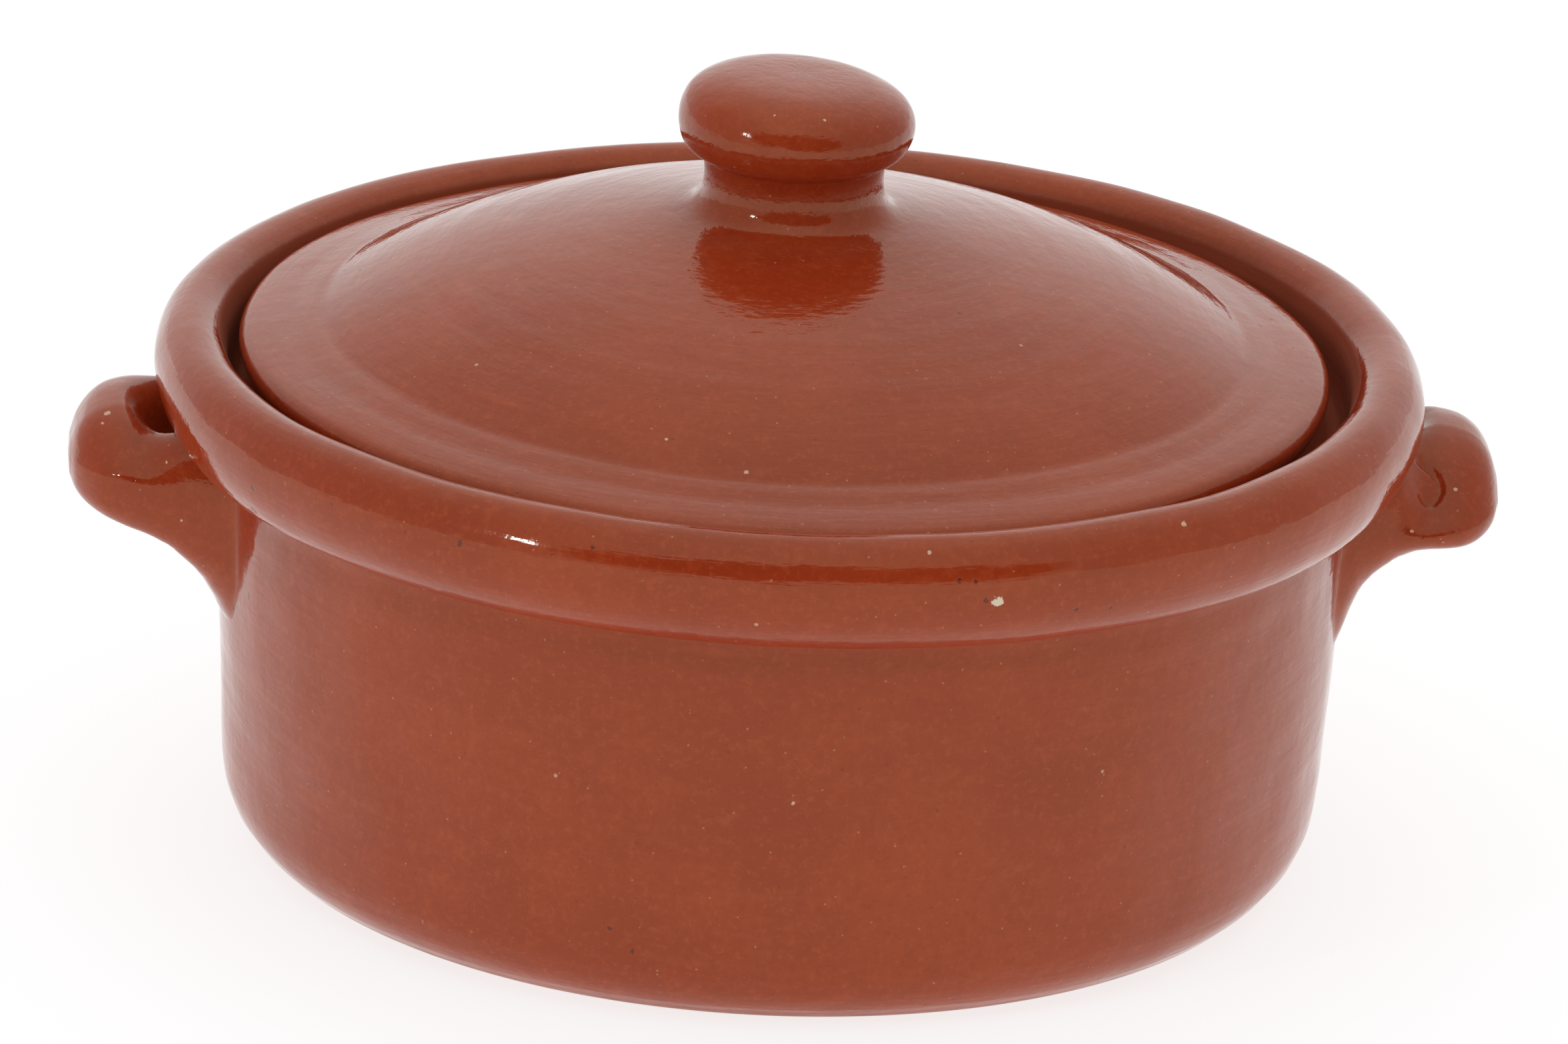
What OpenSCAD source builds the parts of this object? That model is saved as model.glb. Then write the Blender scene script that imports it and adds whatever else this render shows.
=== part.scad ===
// Covered casserole dish in glazed terracotta: a straight-sided pot with a thick rolled rim,
// two ear handles under the rim, and a low domed lid with a mushroom knob that rests on a
// ledge inside the rim. Everything round is turned about the Z axis. Z = 0 is the table.

/* [Pot] */
// Radius of the pot over the rolled rim
rim_r = 110; // [107:0.5:114]
// Height of the pot to the top of the rim
pot_h = 93; // [85:1:105]
// Height of the rolled rim
rim_h = 19.5; // [17:0.5:22]
// Thickness of the rolled rim
rim_t = 11.5; // [10:0.5:12]
// Radius of the wall just above the rounded heel
wall_low_r = 95.6; // [93:0.2:97]
// Radius of the wall just under the rim
wall_top_r = 98.2; // [97:0.2:100]
// Thickness of the wall
wall_t = 8; // [6:0.5:9]
// Thickness of the floor
floor_t = 7; // [5:0.5:9]
// Radius of the rounded heel between the base and the wall
heel_r = 12; // [8:1:15]
// Radius of the curve between the floor and the wall, inside
inside_r = 16; // [10:1:20]
// Depth of the lid's ledge below the top of the rim
ledge_depth = 8.7; // [8:0.1:9]
// Reach of the ledge inwards from the inside of the wall
ledge_reach = 2.5; // [1.5:0.5:4]

/* [Lid] */
// Gap between the edge of the lid and the inside of the rim
lid_gap = 4.3; // [3:0.1:5]
// Gap left by the glaze between the ledge and the lid resting on it
seat_gap = 0.3; // [0.2:0.1:0.5]
// Thickness of the lid's flat flange
flange_t = 6.8; // [6:0.1:8]
// Width of the flange that surrounds the dome
flange_w = 13; // [11:0.5:15]
// Height of the dome above the top of the flange
dome_h = 22; // [18:1:28]
// Fullness of the dome: 2 is a plain parabola, more is flatter on top
dome_power = 2.4; // [2:0.1:3]
// Thickness of the dome
dome_t = 6.5; // [5:0.5:8]

/* [Knob] */
// Radius of the knob's head
knob_r = 20.4; // [18:0.2:24]
// Radius of the neck under the head
neck_r = 15.8; // [13:0.2:16]
// Height of the neck, which spreads out onto the dome
neck_h = 12; // [9:0.5:13]
// Radius of the round edge of the knob's head
knob_edge_r = 6; // [4.5:0.5:8]

/* [Handles] */
// Reach of a handle from the pot's axis
handle_reach = 125; // [121:0.5:130]
// Half the width of a handle at its rounded end
handle_half_w = 17; // [14:0.5:20]
// Half the width of a handle where it spreads on the wall
handle_root_half_w = 22; // [20:0.5:26]
// Thickness of a handle near its end
handle_t = 19; // [15:0.5:20]
// Rise of a handle's end above its root under the rim
handle_rise = 3; // [0:0.5:4]
// Height on the wall where the underside of a handle begins
handle_low_z = 41; // [35:1:46]

/* [Hidden] */
round_fn = 180;
arc_steps = 8;
curve_steps = 12;
clay = [0.62, 0.27, 0.18];
clay_dark = [0.55, 0.23, 0.15];

rim_half_t = rim_t / 2;
rim_mid_r = rim_r - rim_half_t;
rim_low_z = pot_h - rim_h;
ledge_z = pot_h - ledge_depth;
ledge_r = wall_top_r - wall_t - ledge_reach;
ledge_drop = 6;
inner_low_r = wall_low_r - wall_t;
inner_top_r = wall_top_r - wall_t;
foot_r = wall_low_r - heel_r;

lid_r = rim_r - rim_t - lid_gap;
lid_low_z = ledge_z + seat_gap;
flange_top_z = lid_low_z + flange_t;
flange_edge_r = flange_t / 2;
dome_r = lid_r - flange_w;

neck_curve_r = neck_h - 1;
knob_foot_r = neck_r + neck_curve_r;
knob_z = dome_z(knob_foot_r);
head_z = knob_z + neck_h;
head_low_angle = 60;
head_cap_angle = 55;

handle_top_z = rim_low_z - 0.3;
handle_end_r = handle_t / 2;
handle_mid_z = handle_top_z + handle_rise - handle_end_r;
handle_root_x = 60;
handle_curve_in = 4;

// Points of a circular arc about c, from angle a0 to angle a1
function arc(c, r, a0, a1) = [
    for (i = [0:arc_steps])
        let (a = a0 + (a1 - a0) * i / arc_steps)
        c + r * [cos(a), sin(a)]
];

// Radius of the outside of the wall at height z
function wall_r(z) = wall_low_r + (wall_top_r - wall_low_r) * (z - heel_r) / (rim_low_z - heel_r);

// Height of the dome's outer surface at radius r
function dome_z(r) = flange_top_z + dome_h * (1 - pow(r / dome_r, dome_power));

// Points along the dome's outer surface, from radius r0 to radius r1, raised by up
function dome_line(r0, r1, up) = [
    for (i = [0:curve_steps])
        let (r = r0 + (r1 - r0) * i / curve_steps)
        [r, dome_z(r) + up]
];

// The outside of the pot up to the ledge: flat base, rounded heel, slightly flared wall
module pot_body_outline() {
    polygon(concat(
        [[0, 0]],
        arc([foot_r, heel_r], heel_r, -90, 0),
        [
            [wall_top_r, rim_low_z],
            [rim_mid_r, rim_low_z + rim_half_t],
            [rim_mid_r, ledge_z],
            [0, ledge_z]
        ]
    ));
}

// The rolled rim: two round edges and the flat between them
module rim_outline() {
    for (z = [rim_low_z + rim_half_t, pot_h - rim_half_t])
        translate([rim_mid_r, z])
            circle(r = rim_half_t, $fn = 48);
    translate([rim_mid_r - rim_half_t, rim_low_z + rim_half_t])
        square([rim_t, rim_h - rim_t]);
}

// The space inside the pot, narrower at the ledge that carries the lid
module pot_cavity_outline() {
    polygon(concat(
        [[0, floor_t]],
        arc([inner_low_r - inside_r, floor_t + inside_r], inside_r, -90, 0),
        [
            [inner_top_r, ledge_z - 2 * ledge_drop],
            [ledge_r, ledge_z - ledge_drop],
            [ledge_r, pot_h + 1],
            [0, pot_h + 1]
        ]
    ));
}

module pot() {
    color(clay)
        rotate_extrude($fn = round_fn)
            difference() {
                union() {
                    pot_body_outline();
                    rim_outline();
                }
                pot_cavity_outline();
            }
}

// Section of a handle from the wall outwards: flat top under the rim, raised round end, hollowed
// underside
module handle_section() {
    low_r = wall_r(handle_low_z);
    top_r = wall_r(handle_top_z);
    end_r = handle_reach - handle_end_r;
    rise_r = min(rim_r, end_r) - 1;
    under_z = handle_mid_z - handle_end_r;
    polygon(concat(
        [[low_r, handle_low_z]],
        arc([end_r - handle_curve_in, handle_low_z], under_z - handle_low_z, 150, 90),
        arc([end_r, handle_mid_z], handle_end_r, -90, 90),
        [[rise_r, handle_top_z], [top_r, handle_top_z]]
    ));
}

// Plan of a handle: spread at the wall, round at the end
module handle_plan() {
    end_x = handle_reach - handle_half_w;
    translate([end_x, 0])
        circle(r = handle_half_w, $fn = 64);
    polygon([
        [handle_root_x, -handle_root_half_w],
        [wall_low_r, -handle_root_half_w],
        [end_x, -handle_half_w],
        [end_x, handle_half_w],
        [wall_low_r, handle_root_half_w],
        [handle_root_x, handle_root_half_w]
    ]);
}

module handle() {
    intersection() {
        rotate_extrude($fn = round_fn)
            handle_section();
        linear_extrude(height = pot_h)
            handle_plan();
    }
}

module handle_right() {
    color(clay_dark)
        handle();
}

module handle_left() {
    color(clay_dark)
        rotate([0, 0, 180])
            handle();
}

// Section of the lid: round flange, hollow dome, and a flat top for the knob
module lid_section() {
    polygon(concat(
        [[dome_r, lid_low_z]],
        arc([lid_r - flange_edge_r, lid_low_z + flange_edge_r], flange_edge_r, -90, 90),
        dome_line(dome_r, knob_foot_r, 0),
        [[0, knob_z], [0, dome_z(0) - dome_t]],
        dome_line(knob_foot_r, dome_r - dome_t, -dome_t)
    ));
}

module lid() {
    color(clay)
        rotate_extrude($fn = round_fn)
            lid_section();
}

// Section of the knob: foot spread on the dome, short neck, and a rounded head whose edge
// arc runs on smoothly into a wider arc over the top
module knob_section() {
    edge_x = knob_r - knob_edge_r;
    edge_z = head_z + knob_edge_r * sin(head_low_angle) + 1;
    cap_drop = edge_x * tan(head_cap_angle);
    cap_r = knob_edge_r + edge_x / cos(head_cap_angle);
    polygon(concat(
        [[0, knob_z]],
        arc([knob_foot_r, knob_z + neck_curve_r], neck_curve_r, -90, -180),
        [[neck_r, head_z]],
        arc([edge_x, edge_z], knob_edge_r, -head_low_angle, head_cap_angle),
        arc([0, edge_z - cap_drop], cap_r, head_cap_angle, 90)
    ));
}

module lid_knob() {
    color(clay_dark)
        rotate_extrude($fn = round_fn)
            knob_section();
}

pot();
handle_left();
handle_right();
lid();
lid_knob();
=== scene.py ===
"""Looks of the covered casserole dish: handmade forms in glazed red terracotta, in a white light tent.

Lengths are in millimetres until a mesh is made, and are worked out from the CAD nodes' boxes. Those of the
materials and the studio are in metres.
"""

import math

import bpy
from mathutils import Matrix, Vector, noise


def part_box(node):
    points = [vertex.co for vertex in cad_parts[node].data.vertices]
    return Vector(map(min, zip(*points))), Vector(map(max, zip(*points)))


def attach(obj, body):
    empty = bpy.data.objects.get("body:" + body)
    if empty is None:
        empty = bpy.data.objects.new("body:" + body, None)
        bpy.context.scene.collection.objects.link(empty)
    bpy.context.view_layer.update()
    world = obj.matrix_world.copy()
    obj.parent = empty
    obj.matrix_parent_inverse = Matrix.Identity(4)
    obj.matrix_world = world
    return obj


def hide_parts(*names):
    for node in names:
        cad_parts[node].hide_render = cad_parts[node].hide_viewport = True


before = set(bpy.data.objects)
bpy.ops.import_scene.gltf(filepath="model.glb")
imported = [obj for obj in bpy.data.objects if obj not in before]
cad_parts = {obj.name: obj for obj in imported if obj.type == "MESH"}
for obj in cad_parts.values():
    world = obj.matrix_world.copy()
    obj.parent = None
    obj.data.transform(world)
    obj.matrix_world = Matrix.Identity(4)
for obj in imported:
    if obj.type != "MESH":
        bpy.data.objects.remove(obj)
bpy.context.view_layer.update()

MM = 0.001


def node_box(node):
    """Lowest and highest corner of a CAD node, in millimetres."""
    low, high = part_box(node)
    return Vector(low) / MM, Vector(high) / MM


_, POT_HIGH = node_box("pot")
LID_LOW, LID_HIGH = node_box("lid")
_, KNOB_HIGH = node_box("lid_knob")

# Outside radii of the rim and the lid, and heights of the rim's top, the lid's underside and the knob's top.
RIM_R = POT_HIGH.x
RIM_Z = POT_HIGH.z
LID_R = LID_HIGH.x
LID_Z = LID_LOW.z
KNOB_Z = KNOB_HIGH.z

# Points round a turned piece.
ROUND_STEPS = 288
KNOB_STEPS = 160

# The lid lies a little off centre and not quite level in its loose seat.
LID_SHIFT = Vector((-1.0, 0.1, 0.0))
LID_TILT = Matrix.Rotation(math.radians(0.35), 3, Vector((0.9, 0.45, 0.0)))


# ---------------------------------------------------------------- outlines and meshes


def spline(points, step):
    """Points about one step apart on a smooth curve (centripetal Catmull-Rom) through the given ones."""
    pts = [Vector(p) for p in points]
    pts = [2 * pts[0] - pts[1]] + pts + [2 * pts[-1] - pts[-2]]
    out = []
    for a, b, c, d in zip(pts, pts[1:], pts[2:], pts[3:]):
        t1 = (b - a).length ** 0.5
        t2 = t1 + (c - b).length ** 0.5
        t3 = t2 + (d - c).length ** 0.5
        count = max(1, round((c - b).length / step))
        for i in range(count):
            t = t1 + (t2 - t1) * i / count
            a1 = a.lerp(b, t / t1)
            a2 = b.lerp(c, (t - t1) / (t2 - t1))
            a3 = c.lerp(d, (t - t2) / (t3 - t2))
            b1 = a1.lerp(a2, t / t2)
            b2 = a2.lerp(a3, (t - t1) / (t3 - t1))
            out.append(b1.lerp(b2, (t - t1) / (t2 - t1)))
    return out + [pts[-2]]


def ease(value, low, high):
    """Smooth step from 0 at low to 1 at high."""
    t = min(max((value - low) / (high - low), 0), 1)
    return t * t * (3 - 2 * t)


def wave(p, size, seed):
    """Smooth noise of about -1 to 1 whose lumps are about size millimetres across."""
    return 2 * noise.noise(Vector((p.x / size + seed, p.y / size - seed, p.z / size + 2 * seed)))


def make_mesh(name, verts, faces):
    """A smooth-shaded object from points in millimetres."""
    mesh = bpy.data.meshes.new(name)
    mesh.from_pydata([v * MM for v in verts], [], faces)
    mesh.shade_smooth()
    obj = bpy.data.objects.new(name, mesh)
    bpy.context.scene.collection.objects.link(obj)
    return obj


def turned(name, outline, segments, shape):
    """A closed turned form. The outline runs anticlockwise from the axis to the axis, and shape moves each
    point to where the potter's hand left it."""
    rings = outline[1:-1]
    verts, faces = [], []
    for p in rings:
        for i in range(segments):
            a = 2 * math.pi * i / segments
            verts.append(shape(Vector((p[0] * math.cos(a), p[0] * math.sin(a), p[1]))))
    for row in range(len(rings) - 1):
        for i in range(segments):
            a = row * segments + i
            b = row * segments + (i + 1) % segments
            faces.append((a, b, b + segments, a + segments))
    for ring, pole, flip in ((0, outline[0], True), (len(rings) - 1, outline[-1], False)):
        centre = len(verts)
        verts.append(shape(Vector((0, 0, pole[1]))))
        for i in range(segments):
            a = ring * segments + i
            b = ring * segments + (i + 1) % segments
            faces.append((b, a, centre) if flip else (a, b, centre))
    return make_mesh(name, verts, faces)


# ---------------------------------------------------------------- pot


WALL = spline(
    [(RIM_R - 16.1, 6.3), (RIM_R - 14.8, 10), (RIM_R - 14.2, 15), (RIM_R - 13.7, 25), (RIM_R - 12.9, 40),
     (RIM_R - 12.4, 55), (RIM_R - 12.0, 66), (RIM_R - 11.9, 69.5), (RIM_R - 11.7, 71.6)], 1.2
)


def wall_r(z):
    """Radius of the outside of the wall at height z."""
    for low, high in zip(WALL, WALL[1:]):
        if z <= high.y:
            return low.x + (high.x - low.x) * max(0, (z - low.y) / (high.y - low.y))
    return WALL[-1].x


def pot_outline():
    """Base, heel, wall, rolled rim, groove, ledge and inside, from the middle of the base to the middle of
    the floor."""
    r, z = RIM_R, RIM_Z
    base = spline([(0, 0.5), (30, 0.5), (60, 0.4), (74, 0.1), (r - 28, 0)], 3)
    bevel = spline(
        [(r - 25.5, 0.05), (r - 22.6, 0.5), (r - 20.4, 1.5), (r - 20.0, 1.9), (r - 18.2, 3.5)], 0.5
    )
    rim = spline(
        [(r - 11.3, z - 20.9), (r - 7.6, z - 20.4), (r - 4.5, z - 18.8), (r - 2.1, z - 15.9),
         (r - 0.6, z - 12.4), (r, z - 8.6), (r - 0.45, z - 5.4), (r - 1.6, z - 3.1), (r - 3.2, z - 1.35),
         (r - 5.8, z - 0.15), (r - 8.5, z - 0.5), (r - 10.9, z - 2.3), (r - 11.9, z - 4.6),
         (r - 12.6, z - 6.4)], 0.8
    )
    ledge = spline(
        [(r - 12.8, z - 9.5), (r - 13.4, z - 12.0), (r - 14.7, z - 13.6), (r - 16.3, z - 13.3),
         (r - 17.5, z - 11.2), (r - 18.6, z - 9.2), (r - 20.6, z - 8.9), (r - 21.9, z - 9.8),
         (r - 22.3, z - 13.2)], 0.7
    )
    inside = spline(
        [(r - 21.4, z - 17), (r - 20.4, z - 22), (r - 20.2, z - 32), (r - 21.2, 40), (r - 22.2, 24),
         (r - 24.6, 15.5), (r - 29.5, 10), (r - 37, 7.8), (55, 7.1), (28, 7.0), (0, 7.0)], 2
    )
    return base + bevel + WALL + rim + ledge + inside


def smear(p, a):
    """Upright finger marks on the wall beside each ear, where its root was smoothed down."""
    beside = abs(abs(math.remainder(a, math.pi)) - 0.33) / 0.10
    return 0.06 * math.sin(60 * a) * math.exp(-beside ** 2) * ease(p.z, 35, 60) * (1 - ease(p.z, 72, 76))


def pot_shape(p):
    """Out of round by a few tenths, with the ridges that fingers leave while the pot is turned."""
    radius = math.hypot(p.x, p.y)
    if radius < 1:
        return p
    a = math.atan2(p.y, p.x)
    up = min(max(p.z / 20, 0), 1)
    out = 0.35 * math.cos(a) + 0.2 * math.sin(2 * a + 0.8) + 0.15 * math.sin(3 * a)
    out += 0.25 * wave(p, 45, 3.1)
    out += 0.10 * math.sin(p.z / 1.15 + 1.6 * math.sin(a)) * wave(Vector((0, 0, p.z)), 9, 7.7)
    out += 0.10 * wave(p, 12, 5.3) + smear(p, a)
    lift = 0.35 * math.sin(a + 2.2) + 0.25 * math.sin(2 * a) + 0.12 * wave(p, 20, 1.9)
    scale = 1 + up * out / max(radius, 40)
    return Vector((p.x * scale, p.y * scale, p.z + lift * min(max((p.z - 60) / 30, 0), 1)))


# ---------------------------------------------------------------- lid and knob


def dome_z(radius):
    """Height of the outside of the dome, which rises a little to the knob."""
    return LID_Z + 28.9 - 8.7 * (radius / 57) ** 2.42 + 5.0 * math.exp(-(radius / 22) ** 2)


def lid_outline():
    """The hollow underside first, then the flange's round edge, its shallow dip, and the dome."""
    r, z = LID_R, LID_Z
    hollow = spline(
        [(0, z + 22.2), (20, z + 21.8), (35, z + 19.8), (50, z + 15.4), (62, z + 9.9), (71, z + 4.6),
         (76, z + 1.4), (79.5, z + 0.1)], 2
    )
    flange = spline(
        [(81, z), (86, z), (r - 3.6, z), (r - 1.6, z + 0.7), (r - 0.4, z + 2.2), (r, z + 3.8),
         (r - 0.4, z + 5.1), (r - 1.3, z + 6.0), (r - 2.8, z + 6.55), (r - 5.4, z + 7.15),
         (r - 8.4, z + 7.75), (r - 11.4, z + 8.6), (r - 14.4, dome_z(r - 14.4))], 0.8
    )
    dome = [Vector((radius, dome_z(radius))) for radius in range(79, 0, -1)]
    return hollow + flange + dome + [Vector((0, dome_z(0)))]


def knob_outline():
    """Foot smoothed out over the dome, short neck, and the rounded head."""
    z = KNOB_Z
    foot = [(radius, dome_z(radius) + up) for radius, up in
            ((24, -0.9), (22.8, -0.4), (21.6, -0.12), (20.6, 0.0), (19.6, 0.05), (18.7, 0.15), (17.9, 0.38),
             (17.2, 0.78), (16.6, 1.35), (16.1, 2.1), (15.75, 3.1), (15.55, 4.5), (15.5, 5.5))]
    head = [(15.6, z - 17.6), (15.8, z - 16.4), (16.0, z - 15.7), (16.6, z - 15.1), (18.1, z - 14.3),
            (19.4, z - 13.0), (20.2, z - 10.9), (20.4, z - 8.7), (20.0, z - 6.5), (18.8, z - 4.2),
            (16.7, z - 2.4), (13.4, z - 1.0), (9.2, z - 0.3), (5, z - 0.05), (0, z)]
    return [Vector((0, z - 33))] + spline([(8, z - 33), (22, z - 31.5)] + foot + head, 0.5)


def lid_shape(p):
    """A wavy flange, faint turning ridges on the dome, and the lid's place in its seat."""
    radius = math.hypot(p.x, p.y)
    a = math.atan2(p.y, p.x)
    edge = min(max((radius - 30) / 60, 0), 1)
    out = edge * (0.3 * math.sin(2 * a + 2.4) + 0.3 * wave(p, 50, 8.2))
    lift = edge * (0.15 * math.sin(2 * a + 0.4) + 0.12 * wave(p, 25, 4.4))
    ridge = min(max((radius - 32) / 10, 0), 1)
    lift += ridge * 0.06 * math.sin(radius / 1.3 + math.sin(a)) * wave(Vector((radius, 0, 0)), 14, 2.8)
    scale = 1 + out / max(radius, 40)
    return LID_TILT @ Vector((p.x * scale, p.y * scale, p.z + lift)) + LID_SHIFT


def knob_shape(p):
    """Pressed a little out of round, and lower on one side of the top, by the fingers that put it on."""
    a = math.atan2(p.y, p.x)
    head = min(max((p.z - KNOB_Z + 22) / 8, 0), 1)
    top = min(max((p.z - KNOB_Z + 12) / 10, 0), 1)
    scale = 1 + head * (0.15 * math.sin(2 * a + 0.3) + 0.15 * wave(p, 14, 6.1)) / 20
    drop = top * (0.8 + 0.05 * p.x)
    return LID_TILT @ Vector((p.x * scale, p.y * scale, p.z - drop)) + LID_SHIFT


# ---------------------------------------------------------------- handles

# Stations of an ear from inside the wall to its nose: distance from the wall, half width, lowest and
# highest point.
EAR = [
    (-2.0, 19.8, 42.5, 76.5),
    (0.0, 19.8, 43.4, 76.8),
    (2.0, 19.8, 46.9, 77.2),
    (4.5, 19.6, 51.0, 77.5),
    (8.5, 19.2, 54.6, 77.8),
    (12.5, 18.6, 56.6, 77.9),
    (16.5, 17.6, 57.9, 77.8),
    (20.5, 15.8, 59.4, 77.0),
    (23.4, 13.2, 60.9, 75.3),
    (25.4, 10.0, 62.6, 72.8),
    (26.6, 5.6, 64.6, 69.8),
]
# The fillet where an ear leaves the wall: how far it spreads on the wall, and how far out along the ear.
EAR_FILLET = 3.5
EAR_FILLET_REACH = 11.0
# Steps along each half of a section, and the height above which an ear's root stays straight under the rim.
EAR_STEPS = 60
ROOT_TOP_Z = 66


def profile(points):
    """A curve through the points, as a fixed number of steps."""
    fine = spline(points, 0.004)
    return [fine[round(i * (len(fine) - 1) / EAR_STEPS)] for i in range(EAR_STEPS + 1)]


# Half a section of an ear from the middle of its underside to the middle of its top, as shares of its half
# width and height: upright at the root, and further out sloping from the top to a ridge on the near side.
LEFT_NEAR = profile(
    [(0, 0), (0.3, 0), (0.6, 0.01), (0.84, 0.06), (0.96, 0.18), (1.0, 0.35), (1.005, 0.48), (0.995, 0.55),
     (0.955, 0.60), (0.87, 0.68), (0.72, 0.80), (0.52, 0.91), (0.28, 0.98), (0, 1)]
)
RIGHT_NEAR = profile(
    [(0, 0), (0.3, 0), (0.6, 0.01), (0.84, 0.05), (0.95, 0.12), (1.0, 0.22), (1.0, 0.29), (0.965, 0.35),
     (0.88, 0.44), (0.72, 0.60), (0.54, 0.76), (0.36, 0.88), (0.18, 0.96), (0, 1)]
)
UPRIGHT = profile(
    [(0, 0), (0.3, 0), (0.6, 0.01), (0.84, 0.07), (0.96, 0.2), (1.0, 0.36), (1.0, 0.5), (0.98, 0.68),
     (0.88, 0.86), (0.7, 0.96), (0.4, 1.0), (0, 1)]
)


def ear_stations():
    """The stations of an ear, close together where the fillet leaves the wall, and widened by the fillet."""
    fine = spline(EAR, 0.25)
    turn = [math.radians(step * 4.5) for step in range(21)]
    gaps = [(EAR[0][0], EAR_FILLET)]
    gaps += [(EAR_FILLET_REACH * (1 - math.cos(a)), EAR_FILLET * (1 - math.sin(a))) for a in turn]
    gaps += [(station[0], 0) for station in fine[::2] if station[0] > EAR_FILLET_REACH + 0.2]
    stations = []
    for gap, spread in gaps:
        nearest = min(fine, key=lambda station: abs(station[0] - gap))
        stations.append((gap, nearest[1] + spread, nearest[2] - 0.4 * spread, nearest[3] + spread))
    return stations


def ear_section(gap, half, low, high, left, right):
    """One ring of an ear: its two sides, each from the middle of the underside to the middle of the top."""
    formed = ease(gap, 6, 14)
    left_side = [upright.lerp(point, formed) for upright, point in zip(UPRIGHT, left)]
    right_side = [upright.lerp(point, formed) for upright, point in zip(UPRIGHT, right)]
    outline = [(point.x, point.y) for point in right_side[:-1]]
    outline += [(-point.x, point.y) for point in reversed(left_side[1:])]
    return [(half * across, low + (high - low) * up) for across, up in outline]


def ear(name, turn, left, right, shape):
    """A closed ear handle at the given angle round the pot, lofted from its sections on the real wall."""
    spin = Matrix.Rotation(math.radians(turn), 3, "Z")
    around = len(left) + len(right) - 2
    verts, faces = [], []

    def place(gap, y, z):
        """The point at a distance from the wall, which it follows closely near it and less further out."""
        near = 1 - ease(gap, 0, 14)
        radius = wall_r(min(z, ROOT_TOP_Z))
        curved = radius - math.sqrt(radius ** 2 - y ** 2)
        p = spin @ shape(Vector((radius + gap - curved * near, y, z)), near)
        return p + (pot_shape(p) - p) * near

    stations = ear_stations()
    for gap, half, low, high in stations:
        verts += [place(gap, y, z) for y, z in ear_section(gap, half, low, high, left, right)]
    for row in range(len(stations) - 1):
        for i in range(around):
            a = row * around + i
            b = row * around + (i + 1) % around
            faces.append((a, b, b + around, a + around))
    last = (len(stations) - 1) * around
    for first, gap, z, flip in ((0, EAR[0][0], 56, True), (last, EAR[-1][0] + 0.3, 67.2, False)):
        centre = len(verts)
        verts.append(place(gap, 0, z))
        for i in range(around):
            a, b = first + i, first + (i + 1) % around
            faces.append((b, a, centre) if flip else (a, b, centre))
    return make_mesh(name, verts, faces)


def bowl(across, reach):
    """1 in the middle of a round-bottomed press, falling to 0 outside it."""
    return math.exp(-1.2 * (across / reach) ** 2)


def left_ear_shape(p, near):
    """The left ear: a deep finger press beside the rim, and a shallow thumb hollow low on the front."""
    press = 9.5 * (1 - ease(p.x, 104, 116)) * bowl(p.y - 1.5, 8.5)
    thumb = 0.8 * bowl(p.x - 110, 10) * bowl(p.z - 60, 5) * ease(p.y, 4, 14)
    lump = 0.3 * wave(p, 13, 2.2) * (1 - near)
    nose = 0.7 * ease(p.x, 112, 122)
    sag = 0.8 * bowl(p.x - 102, 5) * (1 - ease(p.z, 56, 66))
    up = 0.1 - press * ease(p.z, 60, 74) - sag
    return Vector((p.x - nose + 0.5 * lump, p.y - thumb + lump, p.z + up + 0.5 * lump))


def right_ear_shape(p, near):
    """The right ear: thicker at its end, hollow below, and a thumb print on the near shoulder."""
    press = 7 * (1 - ease(p.x, 104, 115)) * bowl(p.y - 6, 7)
    nail = bowl(math.hypot(p.x - 109.9, 1.35 * (p.y + 11.6)) - 3.5, 0.9) * ease(p.x, 108.5, 110.5)
    high = 0.5 * ease(p.x, 104, 112)
    hollow = 3.2 * ease(p.x, 95, 100) * (1 - ease(p.x, 108, 122)) * (1 - ease(p.z, 57, 68))
    lump = 0.3 * wave(p, 13, 9.4) * (1 - near)
    up = (high - press) * ease(p.z, 62, 74) + hollow - 1.1 * nail * ease(p.z, 62, 68)
    return Vector((p.x + 0.5 * lump, p.y + lump, p.z + up + 0.5 * lump))


# ---------------------------------------------------------------- materials


class Nodes:
    """Short calls for the nodes that a material or world tree needs."""

    def __init__(self, tree):
        self.tree = tree
        tree.nodes.clear()

    def add(self, kind, inputs=(), **settings):
        """A new node with its settings, and with a value or a link on each of the given inputs."""
        node = self.tree.nodes.new(kind)
        for key, value in settings.items():
            setattr(node, key, value)
        for key, value in dict(inputs).items():
            if isinstance(value, bpy.types.NodeSocket):
                self.tree.links.new(value, node.inputs[key])
            else:
                node.inputs[key].default_value = value
        return node

    def math(self, operation, a, b=0.0, c=0.0, clamp=False):
        """Result of an operation on numbers."""
        node = self.add("ShaderNodeMath", {0: a, 1: b, 2: c}, operation=operation, use_clamp=clamp)
        return node.outputs[0]

    def ramp(self, value, low, high, out_low=0.0, out_high=1.0):
        """Smooth step of value from low to high."""
        return self.add(
            "ShaderNodeMapRange",
            {"Value": value, "From Min": low, "From Max": high, "To Min": out_low, "To Max": out_high},
            interpolation_type="SMOOTHSTEP",
        ).outputs["Result"]

    def noise(self, vector, scale, detail=2.0, rough=0.5):
        """Noise of 0 to 1."""
        return self.add(
            "ShaderNodeTexNoise", {"Vector": vector, "Scale": scale, "Detail": detail, "Roughness": rough}
        ).outputs["Fac"]

    def mix(self, fac, a, b):
        """Mix of two colours."""
        node = self.add("ShaderNodeMix", data_type="RGBA")
        for key, value in ((0, fac), (6, a), (7, b)):
            if isinstance(value, bpy.types.NodeSocket):
                self.tree.links.new(value, node.inputs[key])
            else:
                node.inputs[key].default_value = value
        return node.outputs[2]


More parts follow.
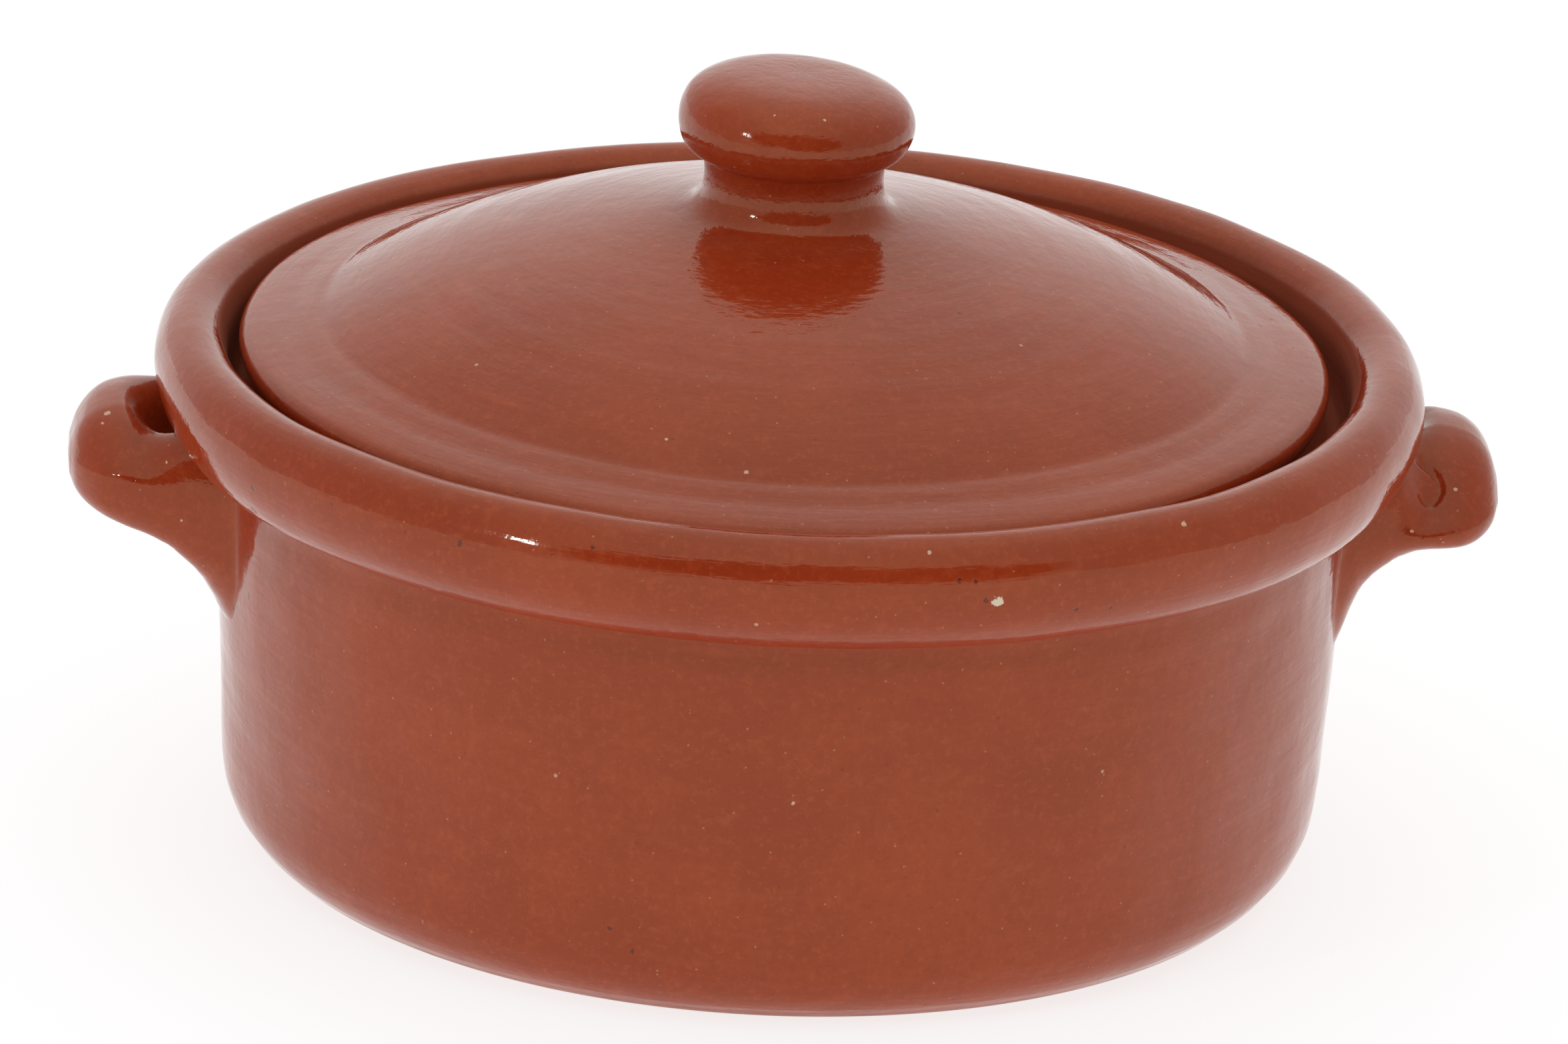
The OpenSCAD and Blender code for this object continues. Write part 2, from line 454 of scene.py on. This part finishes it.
GLAZE = (0.368, 0.0435, 0.0107, 1)
GLAZE_DEEP = (0.316, 0.0335, 0.0085, 1)
GLAZE_THIN = (0.42, 0.062, 0.019, 1)
# Darker glaze painted as shade into the pot's groove and ledge and onto the lid's edge low down in it.
GROOVE_PAINTED_SHADE = (0.26, 0.034, 0.010, 1)
RAW_CLAY = (0.36, 0.12, 0.06, 1)
PALE_SPECK = (0.68, 0.42, 0.28, 1)
DARK_SPECK = (0.13, 0.022, 0.010, 1)
PIT = (0.16, 0.022, 0.010, 1)
CHIP = (0.78, 0.66, 0.48, 1)
# Tint of the reflections in the glaze.
GLAZE_TINT = (0.91, 0.93, 0.61, 1)
# Radius that the turning noise has for every ring of a piece: small, so that it draws out into rings.
TURN_LENGTH = 0.012
BUMP_DEPTH = 0.0004

# Chips, pits and specks that can be seen in the glaze: distance across, height and size in mm, and colour.
# Each is put on the front of its piece.
MARKS = {
    "pot": [
        (28.6, 83.1, 0.95, CHIP), (26.4, 83.5, 0.5, PIT), (21.7, 87.2, 0.5, PIT), (24.4, 86.9, 0.35, PIT),
        (-60.2, 85.7, 0.45, PIT), (-38.7, 89.1, 0.4, PIT), (42.0, 80.0, 0.4, PIT), (48.1, 79.4, 0.4, PIT),
        (-93.2, 76.5, 0.7, PIT), (-93.6, 82.0, 0.6, PIT), (-93.2, 59.4, 0.45, PIT), (-92.9, 52.5, 0.45, PIT),
        (-100.8, 78.3, 0.6, PIT), (-32.3, 17.1, 0.35, PIT), (-28.3, 13.5, 0.45, PIT),
        (16.6, 91.4, 0.3, PALE_SPECK), (60.3, 91.4, 0.5, PALE_SPECK), (-3.0, 43.0, 0.3, PALE_SPECK),
    ],
    "handle_left": [
        (-117.7, 76.5, 0.6, PALE_SPECK), (-118.4, 75.4, 0.45, PALE_SPECK), (-107.4, 71.9, 0.3, PALE_SPECK),
        (-94.9, 46.6, 0.45, PIT), (-104.5, 62.0, 0.25, PALE_SPECK),
    ],
    "handle_right": [
        (116.2, 70.8, 0.3, PALE_SPECK), (108.2, 65.3, 0.3, PALE_SPECK), (114.0, 63.0, 0.25, PALE_SPECK),
    ],
    "lid": [(-12.2, 94.4, 0.45, PALE_SPECK), (26.0, 108.7, 0.35, PIT), (-25.3, 97.1, 0.25, PALE_SPECK)],
    "lid_knob": [(-5.8, 137.4, 0.25, PALE_SPECK), (2.8, 136.9, 0.25, PALE_SPECK)],
}


def on_front(piece, x, z):
    """The place where a line from the front meets the piece, at a distance across and a height in mm."""
    found, place, _, _ = piece.ray_cast(Vector((x, -300, z)) * MM, Vector((0, 1, 0)))
    return place if found else Vector((0, 0, -1))


class Clay:
    """The patterns that the colour, gloss and relief of one piece share."""

    def __init__(self, n, seed):
        self.n = n
        self.place = n.add("ShaderNodeTexCoord").outputs["Object"]
        x, y, self.z = n.add("ShaderNodeSeparateXYZ", {0: self.place}).outputs
        self.radius = n.math("SQRT", n.math("ADD", n.math("MULTIPLY", x, x), n.math("MULTIPLY", y, y)))
        angle = n.math("ARCTAN2", y, x)
        self.ring = n.add(
            "ShaderNodeCombineXYZ",
            {0: n.math("MULTIPLY", n.math("SINE", angle), TURN_LENGTH),
             1: n.math("MULTIPLY", n.math("COSINE", angle), TURN_LENGTH), 2: self.z},
        ).outputs[0]
        offset = (seed, seed * 0.7, 0.3 * seed)
        moved = n.add("ShaderNodeVectorMath", {0: self.place, 1: offset}, operation="ADD")
        self.moved = moved.outputs[0]
        self.streak = self.turned_noise(330, 3)
        self.band = self.turned_noise(90, 2)
        self.grain = n.noise(self.moved, 900, 3, 0.65)

    def turned_noise(self, scale, detail):
        """Noise drawn out along the turning direction."""
        inputs = {"Vector": self.ring, "W": self.radius, "Scale": scale, "Detail": detail, "Roughness": 0.6}
        return self.n.add("ShaderNodeTexNoise", inputs, noise_dimensions="4D").outputs["Fac"]

    def specks(self, scale, chance, size):
        """Mask of round specks in some cells of a Voronoi pattern."""
        n = self.n
        cells = n.add("ShaderNodeTexVoronoi", {"Vector": self.moved, "Scale": scale}, feature="F1")
        pick = n.add("ShaderNodeSeparateColor", {0: cells.outputs["Color"]}).outputs[0]
        near = n.ramp(cells.outputs["Distance"], size, size * 0.55)
        return n.math("MULTIPLY", near, n.math("LESS_THAN", pick, chance))


def glaze_colour(n, clay):
    """The glaze's colour: deep and thin patches, turning streaks, mottle and fine grain."""
    blotch = n.noise(clay.moved, 28, 3, 0.55)
    mottle = n.noise(clay.moved, 420, 3, 0.7)
    speckle = n.noise(clay.moved, 2300, 1, 0.5)
    colour = n.mix(n.ramp(blotch, 0.32, 0.70), GLAZE_DEEP, GLAZE)
    colour = n.mix(n.ramp(clay.streak, 0.50, 0.80, 0, 0.42), colour, GLAZE_THIN)
    colour = n.mix(n.ramp(clay.band, 0.48, 0.25, 0, 0.35), colour, GLAZE_DEEP)
    colour = n.mix(n.ramp(mottle, 0.50, 0.72, 0, 0.5), colour, GLAZE_THIN)
    colour = n.mix(n.ramp(mottle, 0.48, 0.28, 0, 0.7), colour, GLAZE_DEEP)
    colour = n.mix(n.ramp(clay.grain, 0.54, 0.72, 0, 0.7), colour, GLAZE_THIN)
    colour = n.mix(n.ramp(clay.grain, 0.46, 0.28, 0, 0.6), colour, GLAZE_DEEP)
    return n.mix(n.ramp(speckle, 0.36, 0.20, 0, 0.45), colour, DARK_SPECK)


def add_specks(n, clay, colour):
    """Specks of three kinds in the glaze; returns the colour and how far the specks stand out or in."""
    relief = 0
    for scale, chance, size, tone, share, rise in (
        (260, 0.018, 0.12, PALE_SPECK, 0.7, 0.15),
        (620, 0.10, 0.16, PALE_SPECK, 0.3, 0.05),
        (420, 0.05, 0.15, DARK_SPECK, 0.5, -0.25),
    ):
        mask = clay.specks(scale, chance, size)
        colour = n.mix(n.math("MULTIPLY", mask, share), colour, tone)
        relief = n.math("ADD", relief, n.math("MULTIPLY", mask, rise))
    return colour, relief


def add_marks(n, clay, colour, marks):
    """The chips and pits at their places; returns the colour and the mask of all of them."""
    marked = 0
    for centre, size, tone in marks:
        away = n.add("ShaderNodeVectorMath", {0: clay.place, 1: centre}, operation="DISTANCE")
        ragged = n.math("MULTIPLY", n.math("SUBTRACT", clay.grain, 0.5), 3.5 * size)
        away = n.math("ADD", away.outputs["Value"], ragged)
        mask = n.ramp(away, size * 1.1, size * 0.8)
        colour = n.mix(mask, colour, tone)
        marked = n.math("MAXIMUM", marked, mask)
    return colour, marked


def glaze_relief(n, clay):
    """Height of the glaze: turning marks, gentle lumps, orange peel and grain."""
    height = n.math("MULTIPLY", clay.streak, 0.9)
    for pattern, share in (
        (clay.turned_noise(1000, 2), 0.35),
        (n.noise(clay.moved, 140, 2, 0.5), 0.9),
        (n.noise(clay.moved, 520, 2, 0.6), 0.22),
        (clay.grain, 0.10),
    ):
        height = n.math("ADD", height, n.math("MULTIPLY", pattern, share))
    return height


def terracotta(name, seed, areas, marks):
    """Clear gloss glaze over red clay. The function areas makes the masks of bare clay and of rough glaze
    darkened with painted shade, from the radius and the height; marks are chips and pits."""
    material = bpy.data.materials.new(name)
    material.use_nodes = True
    n = Nodes(material.node_tree)
    clay = Clay(n, seed)

    colour, speck_relief = add_specks(n, clay, glaze_colour(n, clay))
    colour, marked = add_marks(n, clay, colour, marks)
    uneven = n.math("ADD", clay.z, n.math("MULTIPLY", clay.grain, 0.0006))
    bare, dull_and_shaded = areas(n, clay.radius, uneven)
    colour = n.mix(bare, colour, RAW_CLAY)
    # Painted shade: the groove, the ledge and the lid's low edge are darkened here, and made rougher below.
    colour = n.mix(dull_and_shaded, colour, GROOVE_PAINTED_SHADE)

    rough = n.math("ADD", n.ramp(clay.band, 0.35, 0.75, 0.06, 0.12), n.ramp(clay.grain, 0.5, 0.8, 0, 0.06))
    rough = n.math("ADD", rough, n.math("MULTIPLY", bare, 0.45))
    rough = n.math("ADD", rough, n.math("MULTIPLY", dull_and_shaded, 0.75), clamp=True)

    height = n.math("ADD", glaze_relief(n, clay), speck_relief)
    height = n.math("SUBTRACT", height, n.math("MULTIPLY", marked, 0.8))
    bump = n.add("ShaderNodeBump", {"Strength": 0.35, "Distance": BUMP_DEPTH, "Height": height})
    shader = n.add(
        "ShaderNodeBsdfPrincipled",
        {"Base Color": colour, "Roughness": rough, "IOR": 1.5, "Specular Tint": GLAZE_TINT,
         "Normal": bump.outputs[0]},
    )
    n.add("ShaderNodeOutputMaterial", {"Surface": shader.outputs[0]})
    return material


def pot_areas(n, radius, z):
    """The pot stands on bare clay, and its groove and ledge are rough and darkened with painted shade."""
    foot = n.ramp(z, 0.0013, 0.0008)
    # Painted shade in the groove and on the ledge, which are also rougher.
    groove = n.math("MULTIPLY", n.ramp(radius, 0.1000, 0.0990), n.ramp(radius, 0.0885, 0.0895))
    height = n.math("MULTIPLY", n.ramp(z, 0.0912, 0.0896), n.ramp(z, 0.0760, 0.0780))
    return foot, n.math("MULTIPLY", groove, height)


def lid_areas(n, radius, z):
    """The underside of the lid's flange is bare where it rests, and its edge low down in the groove is rough
    and darkened with painted shade.
    """
    under = n.math("MULTIPLY", n.ramp(z, 0.0856, 0.0850), n.ramp(radius, 0.0775, 0.0790))
    # Painted shade on the lid's edge low down in the groove, which is also rougher.
    edge = n.math("MULTIPLY", n.ramp(z, 0.0890, 0.0872), n.ramp(radius, 0.0905, 0.0920))
    return under, edge


def no_areas(n, radius, z):
    """Glossy all over."""
    return 0.0, 0.0


# ---------------------------------------------------------------- pieces

pot = turned("pot_body", pot_outline(), ROUND_STEPS, pot_shape)
lid = turned("lid_dome", lid_outline(), ROUND_STEPS, lid_shape)
knob = turned("lid_knob_turned", knob_outline(), KNOB_STEPS, knob_shape)
left = ear("ear_left", 180, UPRIGHT, LEFT_NEAR, left_ear_shape)
right = ear("ear_right", 0, RIGHT_NEAR, UPRIGHT, right_ear_shape)

for seed, (piece, node, body) in enumerate(
    ((pot, "pot", "pot"), (left, "handle_left", "pot"), (right, "handle_right", "pot"),
     (lid, "lid", "lid"), (knob, "lid_knob", "lid"))
):
    areas = {"pot": pot_areas, "lid": lid_areas}.get(node, no_areas)
    marks = [(on_front(piece, x, z), size * MM, tone) for x, z, size, tone in MARKS[node]]
    piece.data.materials.append(terracotta("glazed_" + node, 0.37 * seed, areas, marks))
    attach(piece, body)
    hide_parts(node)


# ---------------------------------------------------------------- studio


# The camera's place, and where it aims: to the right of the target and above it, as the camera sees it.
CAMERA_AZIMUTH = math.radians(-94.5)
CAMERA_ELEVATION = math.radians(20.34)
CAMERA_DISTANCE = 2.088
CAMERA_ROLL = math.radians(2.93)
CAMERA_TARGET = Vector((0, 0, 0.045))
CAMERA_AIM = (0.0007, 0.0117)
CAMERA_LENS = 274.8

# The dark opening in the tent: its azimuth from the camera's, its elevation, and half its size.
OPENING_AZIMUTH = math.radians(5)
OPENING_HALF_WIDTH = math.radians(46)
OPENING_ELEVATION = math.radians(20)
OPENING_HALF_HEIGHT = math.radians(20)
# Light of the tent at its right and left sides and in the opening, where its front and back are 1.
RIGHT_LIGHT = 0.60
LEFT_LIGHT = 0.54
OPENING_LIGHT = 0.06
TENT_COLOUR = (1, 1, 0.995, 1)

FLOOR_SIZE = 4
FLOOR_GLOW = 0.78

# The lamp's azimuth is from the camera's.
LAMP_AZIMUTH = math.radians(-47)
LAMP_ELEVATION = math.radians(21)
LAMP_DISTANCE = 1.2
LAMP_SIZE = 0.09
LAMP_POWER = 1.2
LAMP_COLOUR = (0.67, 0.70, 1)


def add_camera():
    """The camera looks a little above the middle of the pot, from the front, held slightly turned. Returns
    the level direction towards it."""
    level = Vector((math.cos(CAMERA_AZIMUTH), math.sin(CAMERA_AZIMUTH), 0))
    back = level * math.cos(CAMERA_ELEVATION) + Vector((0, 0, math.sin(CAMERA_ELEVATION)))
    right_way = Vector((0, 0, 1)).cross(back).normalized()
    up_way = back.cross(right_way)
    place = CAMERA_TARGET + back * CAMERA_DISTANCE
    aim = CAMERA_TARGET + right_way * CAMERA_AIM[0] + up_way * CAMERA_AIM[1]
    data = bpy.data.cameras.new("camera")
    data.lens = CAMERA_LENS
    camera = bpy.data.objects.new("camera", data)
    turn = (aim - place).to_track_quat("-Z", "Y").to_matrix() @ Matrix.Rotation(CAMERA_ROLL, 3, "Z")
    camera.matrix_world = Matrix.Translation(place) @ turn.to_4x4()
    bpy.context.scene.collection.objects.link(camera)
    bpy.context.scene.camera = camera
    return level


def add_world(front):
    """A white tent, dimmer at its sides, with a dark oval opening round the camera."""
    world = bpy.data.worlds.new("tent")
    world.use_nodes = True
    n = Nodes(world.node_tree)
    way = n.add("ShaderNodeTexCoord").outputs["Generated"]
    up = n.add("ShaderNodeSeparateXYZ", {0: way}).outputs[2]
    side = Vector((-front.y, front.x, 0))
    ahead = n.add("ShaderNodeVectorMath", {0: way, 1: front}, operation="DOT_PRODUCT").outputs["Value"]
    aside = n.add("ShaderNodeVectorMath", {0: way, 1: side}, operation="DOT_PRODUCT").outputs["Value"]
    azimuth = n.math("ARCTAN2", aside, ahead)
    elevation = n.math("ARCSINE", up)
    across = n.math("DIVIDE", n.math("SUBTRACT", azimuth, OPENING_AZIMUTH), OPENING_HALF_WIDTH)
    along = n.math("DIVIDE", n.math("SUBTRACT", elevation, OPENING_ELEVATION), OPENING_HALF_HEIGHT)
    oval = n.math("ADD", n.math("MULTIPLY", across, across), n.math("MULTIPLY", along, along))
    right = n.ramp(aside, 0.1, 1.0, 1, RIGHT_LIGHT)
    left = n.ramp(aside, -0.1, -1.0, 1, LEFT_LIGHT)
    opening = n.ramp(oval, 0.85, 1.25, OPENING_LIGHT, 1)
    light = n.math("MULTIPLY", n.math("MULTIPLY", right, left), opening)
    background = n.add("ShaderNodeBackground", {"Color": TENT_COLOUR, "Strength": light})
    n.add("ShaderNodeOutputWorld", {"Surface": background.outputs[0]})
    bpy.context.scene.world = world


def add_floor():
    """A wide plain pale floor."""
    corners = [(-FLOOR_SIZE, -FLOOR_SIZE, 0), (FLOOR_SIZE, -FLOOR_SIZE, 0), (FLOOR_SIZE, FLOOR_SIZE, 0),
               (-FLOOR_SIZE, FLOOR_SIZE, 0)]
    floor = bpy.data.objects.new("floor", bpy.data.meshes.new("floor"))
    floor.data.from_pydata(corners, [], [(0, 1, 2, 3)])
    bpy.context.scene.collection.objects.link(floor)
    material = bpy.data.materials.new("floor")
    material.use_nodes = True
    n = Nodes(material.node_tree)
    place = n.add("ShaderNodeTexCoord").outputs["Object"]
    tone = n.mix(n.noise(place, 3, 2), (0.30, 0.30, 0.30, 1), (0.29, 0.29, 0.29, 1))
    shader = n.add(
        "ShaderNodeBsdfPrincipled",
        {"Base Color": tone, "Roughness": 0.9, "Emission Color": (1, 1, 1, 1),
         "Emission Strength": FLOOR_GLOW},
    )
    n.add("ShaderNodeOutputMaterial", {"Surface": shader.outputs[0]})
    floor.data.materials.append(material)


def add_lamp(front):
    """The small lamp on the left that makes the glints on the rim, the lid's edge and the knob."""
    level = Matrix.Rotation(LAMP_AZIMUTH, 3, "Z") @ front
    way = level * math.cos(LAMP_ELEVATION) + Vector((0, 0, math.sin(LAMP_ELEVATION)))
    data = bpy.data.lights.new("lamp", "AREA")
    data.shape = "DISK"
    data.size = LAMP_SIZE
    data.energy = LAMP_POWER
    data.color = LAMP_COLOUR
    lamp = bpy.data.objects.new("lamp", data)
    place = Vector((0, 0, 0.09)) + way * LAMP_DISTANCE
    lamp.matrix_world = Matrix.Translation(place) @ way.to_track_quat("Z", "Y").to_matrix().to_4x4()
    bpy.context.scene.collection.objects.link(lamp)


front = add_camera()
add_world(front)
add_floor()
add_lamp(front)
bpy.context.scene.view_settings.view_transform = "Standard"
